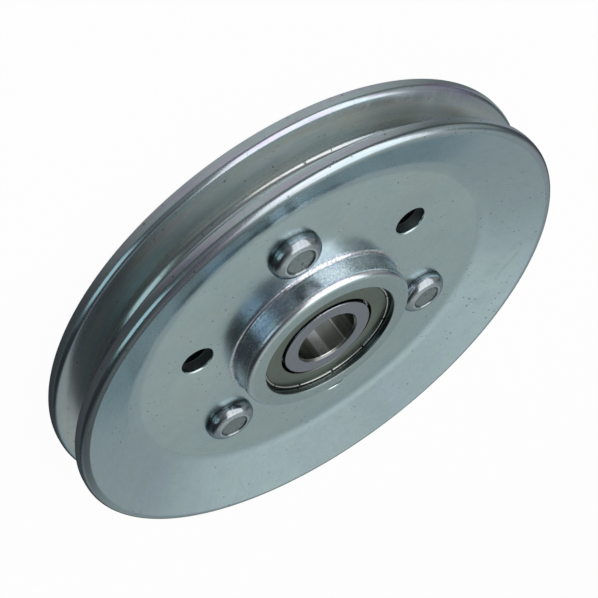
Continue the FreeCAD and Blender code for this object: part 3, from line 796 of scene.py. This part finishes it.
def grind_rings(effects):
    """Ground bearing steel: close rings and faint stains on the faces, and a bore with painted shade and
    painted reflections.
    """
    material, tree, spot = start_metal("ground_ring", (0.7, 0.7, 0.72))
    outward, radius, _ = about_axis(tree, spot)
    marks = use(tree, effects["turning_marks"], spot, fineness=5.5, breaks=1.5)["Marks"]
    smudges = use(tree, effects["smudges"], spot)
    specks = use(tree, effects["specks"], spot, spacing=1.6, share=0.15, size=0.15)["Specks"]
    in_bore = ease(tree, radius, BORE_RADIUS + 0.25, BORE_RADIUS + 0.45, 1.0, 0.0)
    face = blend(tree, smudges["Clouds"], (0.33, 0.36, 0.40, 1.0), (0.40, 0.435, 0.47, 1.0))
    steel = blend(tree, in_bore, face, shaded_bore(tree, outward, radius))
    tone = add_up(tree, 0.9, times(tree, marks, 0.2), times(tree, specks, -0.4))
    roughness = add_up(tree, 0.17, times(tree, smudges["Wipes"], 0.10), times(tree, marks, 0.12))
    skin = use(tree, effects["skin"], spot, waves=4.0, peel=0.8, grain=0.8)["Height"]
    relief = add_up(tree, skin, times(tree, marks, 2.0 * MICRON), times(tree, specks, -4.0 * MICRON))
    finish_metal(tree, stretch(tree, steel, tone), roughness, relief)
    return material


def oil_shields(effects):
    """Dull pressed sheet under a film of oil, lighter and smoother along the top of the crimped bead."""
    material, tree, spot = start_metal("oiled_shield", (0.6, 0.6, 0.55))
    _, _, height = about_axis(tree, spot)
    marks = use(tree, effects["turning_marks"], spot, fineness=3.0, breaks=2.5)["Marks"]
    smudges = use(tree, effects["smudges"], spot)
    specks = use(tree, effects["specks"], spot, spacing=1.2, share=0.2, size=0.2)["Specks"]
    lighter = ease(tree, reckon(tree, "ABSOLUTE", height), SHIELD_FACE + 0.05, SHIELD_FACE + 0.18)
    film = blend(tree, smudges["Clouds"], (0.22, 0.255, 0.23, 1.0), (0.29, 0.335, 0.30, 1.0))
    steel = blend(tree, lighter, film, (0.68, 0.69, 0.66, 1.0))
    tone = add_up(tree, 0.88, times(tree, marks, 0.2), times(tree, specks, -0.4))
    roughness = add_up(tree, 0.24, times(tree, smudges["Wipes"], 0.12), times(tree, marks, 0.08),
                       times(tree, lighter, -0.1))
    skin = use(tree, effects["skin"], spot, waves=10.0, peel=3.0, grain=2.0)["Height"]
    relief = add_up(tree, skin, times(tree, marks, 2.0 * MICRON))
    finish_metal(tree, stretch(tree, steel, tone), roughness, relief)
    return material


def grease_cage(effects):
    """Pressed ribbon steel with smears of grease in the hollows."""
    material, tree, spot = start_metal("greased_cage", (0.7, 0.7, 0.66))
    smudges = use(tree, effects["smudges"], spot)
    scratches = use(tree, effects["scratches"], spot,
                    direction=math.radians(40), spacing=0.7, patch=3.0)["Scratches"]
    smeared = blend(tree, smudges["Wipes"], (0.44, 0.44, 0.43, 1.0), (0.30, 0.27, 0.20, 1.0))
    tone = add_up(tree, 0.85, times(tree, smudges["Clouds"], 0.25), times(tree, scratches, -0.2))
    roughness = add_up(tree, 0.22, times(tree, smudges["Wipes"], 0.25), times(tree, scratches, 0.1))
    skin = use(tree, effects["skin"], spot, waves=6.0, peel=4.0, grain=2.0)["Height"]
    finish_metal(tree, stretch(tree, smeared, tone), roughness, skin)
    return material


def polish_balls(effects):
    """Lapped balls with a running band of fine rings and a thin film of grease."""
    material, tree, spot = start_metal("polished_ball", (0.9, 0.9, 0.9))
    smudges = use(tree, effects["smudges"], spot)
    marks = use(tree, effects["turning_marks"], spot, fineness=6.0, breaks=2.0)["Marks"]
    filmed = blend(tree, smudges["Wipes"], (0.64, 0.64, 0.66, 1.0), (0.50, 0.47, 0.40, 1.0))
    roughness = add_up(tree, 0.05, times(tree, smudges["Wipes"], 0.12), times(tree, marks, 0.05))
    skin = use(tree, effects["skin"], spot, waves=1.0, peel=0.4, grain=0.3)["Height"]
    tone = add_up(tree, 0.92, times(tree, marks, 0.1))
    finish_metal(tree, stretch(tree, filmed, tone), roughness, skin)
    return material


# Light and stage

def light_world():
    """A dim studio with soft patches of light for the metal to mirror, and a white backdrop."""
    dim_level = 0.08
    # Each patch: its direction, its inner and outer angle in degrees, and its strength
    patches = (((-0.05, 0.90, 0.45), 30, 56, 0.325), ((-0.05, 0.30, 0.95), 5, 45, 0.3),
               ((0.95, 0.05, 0.25), 15, 60, -0.05), ((-0.91, -0.05, 0.42), 5, 35, 0.26),
               ((-0.20, -0.80, 0.30), 10, 60, 0.14))
    world = bpy.data.worlds.new("studio")
    world.use_nodes = True
    tree = world.node_tree
    tree.nodes.clear()
    direction = place(tree, "ShaderNodeTexCoord").outputs["Generated"]
    level = add_up(tree, dim_level, *(glow(tree, direction, *patch) for patch in patches))
    colour = blend(tree, ease(tree, level, 0.1, 0.4), (0.88, 0.93, 1.0, 1.0), (0.96, 1.0, 1.0, 1.0))
    studio = place(tree, "ShaderNodeBackground", {"Color": colour, "Strength": level})
    backdrop = place(tree, "ShaderNodeBackground", {"Color": (0.97, 0.97, 0.97, 1.0), "Strength": 1.0})
    seen = place(tree, "ShaderNodeLightPath").outputs["Is Camera Ray"]
    mix = place(tree, "ShaderNodeMixShader", {0: seen, 1: studio.outputs[0], 2: backdrop.outputs[0]})
    place(tree, "ShaderNodeOutputWorld", {"Surface": mix.outputs[0]})
    bpy.context.scene.world = world


def add_lamp(name, towards, long_side, distance, width, length, radiance, colour):
    """A flat lamp that faces the pulley from that side, with its length along long_side."""
    back = Vector(towards).normalized()
    along = Vector(long_side)
    along = (along - back * along.dot(back)).normalized()
    across = along.cross(back)
    data = bpy.data.lights.new(name, "AREA")
    data.shape = "RECTANGLE"
    data.size = width
    data.size_y = length
    data.energy = radiance * math.pi * width * length
    data.color = colour
    lamp = bpy.data.objects.new(name, data)
    bpy.context.scene.collection.objects.link(lamp)
    facing = Matrix((across, along, back)).transposed().to_4x4()
    lamp.matrix_world = Matrix.Translation(back * distance) @ facing


def light_pool(tree, spot, centre, inner, outer, strength):
    """A soft round pool of light on the floor about a centre, in millimetres."""
    middle = (*centre, cad_box[0][2] / MM)
    away = place(tree, "ShaderNodeVectorMath", {0: spot, 1: middle}, operation="DISTANCE").outputs["Value"]
    return ease(tree, away, inner, outer, strength, 0.0)


def floor_paper():
    """Paper that the camera sees as white beside the pulley, that metal mirrors as pools of light, and
    that is clear from below."""
    white = 0.97
    dim_level = 0.04
    # Each pool: its centre, its inner and outer radius in millimetres, and its strength
    pools = (((-10.0, -64.0), 12.0, 55.0, 0.42), ((-60.0, -18.0), 5.0, 32.0, 0.3),
             ((0.0, 0.0), 6.0, 20.0, 0.28))
    material = bpy.data.materials.new("floor_paper")
    material.use_nodes = True
    tree = material.node_tree
    tree.nodes.clear()
    spot = stretch(tree, place(tree, "ShaderNodeTexCoord").outputs["Object"], 1.0 / MM)
    _, radius, _ = about_axis(tree, spot)
    fibres = mottle(tree, spot, 0.8, detail=4.0)
    pale = blend(tree, fibres, (0.76, 0.76, 0.76, 1.0), (0.84, 0.84, 0.84, 1.0))
    dim = blend(tree, fibres, (0.06, 0.063, 0.066, 1.0), (0.08, 0.083, 0.086, 1.0))
    path = place(tree, "ShaderNodeLightPath")
    in_the_open = ease(tree, radius, RIM_RADIUS - 8.0, RIM_RADIUS)
    seen = times(tree, path.outputs["Is Camera Ray"], in_the_open)
    mirrored = add_up(tree, path.outputs["Is Glossy Ray"], path.outputs["Is Transmission Ray"])
    pool_light = add_up(tree, *(light_pool(tree, spot, *pool) for pool in pools), dim_level)
    share = add_up(tree, times(tree, seen, white), times(tree, mirrored, pool_light))
    diffuse = place(tree, "ShaderNodeBsdfDiffuse", {"Color": blend(tree, seen, dim, pale)})
    shine = place(tree, "ShaderNodeEmission", {"Color": (1, 1, 1, 1), "Strength": 1.0})
    paper = place(tree, "ShaderNodeMixShader", {0: share, 1: diffuse.outputs[0], 2: shine.outputs[0]})
    from_below = place(tree, "ShaderNodeNewGeometry").outputs["Backfacing"]
    clear = place(tree, "ShaderNodeBsdfTransparent")
    mix = place(tree, "ShaderNodeMixShader", {0: from_below, 1: paper.outputs[0], 2: clear.outputs[0]})
    place(tree, "ShaderNodeOutputMaterial", {"Surface": mix.outputs[0]})
    return material


def lay_floor():
    size = 4.0
    z = cad_box[0][2]
    corners = [(-size, -size, z), (size, -size, z), (size, size, z), (-size, size, z)]
    mesh = bpy.data.meshes.new("floor")
    mesh.from_pydata(corners, [], [(0, 1, 2, 3)])
    mesh.materials.append(floor_paper())
    floor = bpy.data.objects.new("floor", mesh)
    bpy.context.scene.collection.objects.link(floor)


def set_camera():
    stand = Vector((0.03102, -0.1926, 0.09705))
    aim = Vector((0.00134, -0.00935, 0.0))
    roll = math.radians(142.36)
    data = bpy.data.cameras.new("camera")
    data.lens = 71.62
    data.sensor_width = 36.0
    data.clip_start = 0.01
    camera = bpy.data.objects.new("camera", data)
    bpy.context.scene.collection.objects.link(camera)
    camera.location = stand
    camera.rotation_mode = "QUATERNION"
    camera.rotation_quaternion = (aim - stand).to_track_quat("-Z", "Y") @ Quaternion((0, 0, 1), roll)
    bpy.context.scene.camera = camera


turning_marks = build_turning_marks()
effects = {
    "turning_marks": turning_marks,
    "upset_streaks": build_upset_streaks(),
    "scratches": build_scratches(),
    "specks": build_specks(),
    "smudges": build_smudges(),
    "plating_tint": build_plating_tint(turning_marks),
    "skin": build_skin(),
}
finishes = {
    "zinc_plate": plate_zinc(effects),
    "rivet_steel": plate_rivets(effects),
    "ring_steel": grind_rings(effects),
    "shield_steel": oil_shields(effects),
    "cage_steel": grease_cage(effects),
    "ball_steel": polish_balls(effects),
}
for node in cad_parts.values():
    slot = node.material_slots[0]
    slot.material = finishes[slot.material.name]

turned = build_turned()
press_halves(build_pressed_half(turned), finishes["zinc_plate"])
set_rivets(build_rivet_ring(turned), finishes["rivet_steel"])
stamp_shields(build_shield(turned), finishes["shield_steel"])

light_world()
add_lamp("key_softbox", towards=(-0.43, -0.41, 0.8), long_side=(0.052, 1.037, 0.77), distance=0.6,
         width=0.62, length=1.0, radiance=1.35, colour=(1.0, 0.95, 0.98))
add_lamp("low_right_strip", towards=(0.84, -0.50, 0.26), long_side=(0.0, 0.0, 1.0), distance=0.6,
         width=0.28, length=0.44, radiance=0.75, colour=(0.68, 0.92, 1.0))
lay_floor()
set_camera()
bpy.context.scene.view_settings.view_transform = "Standard"
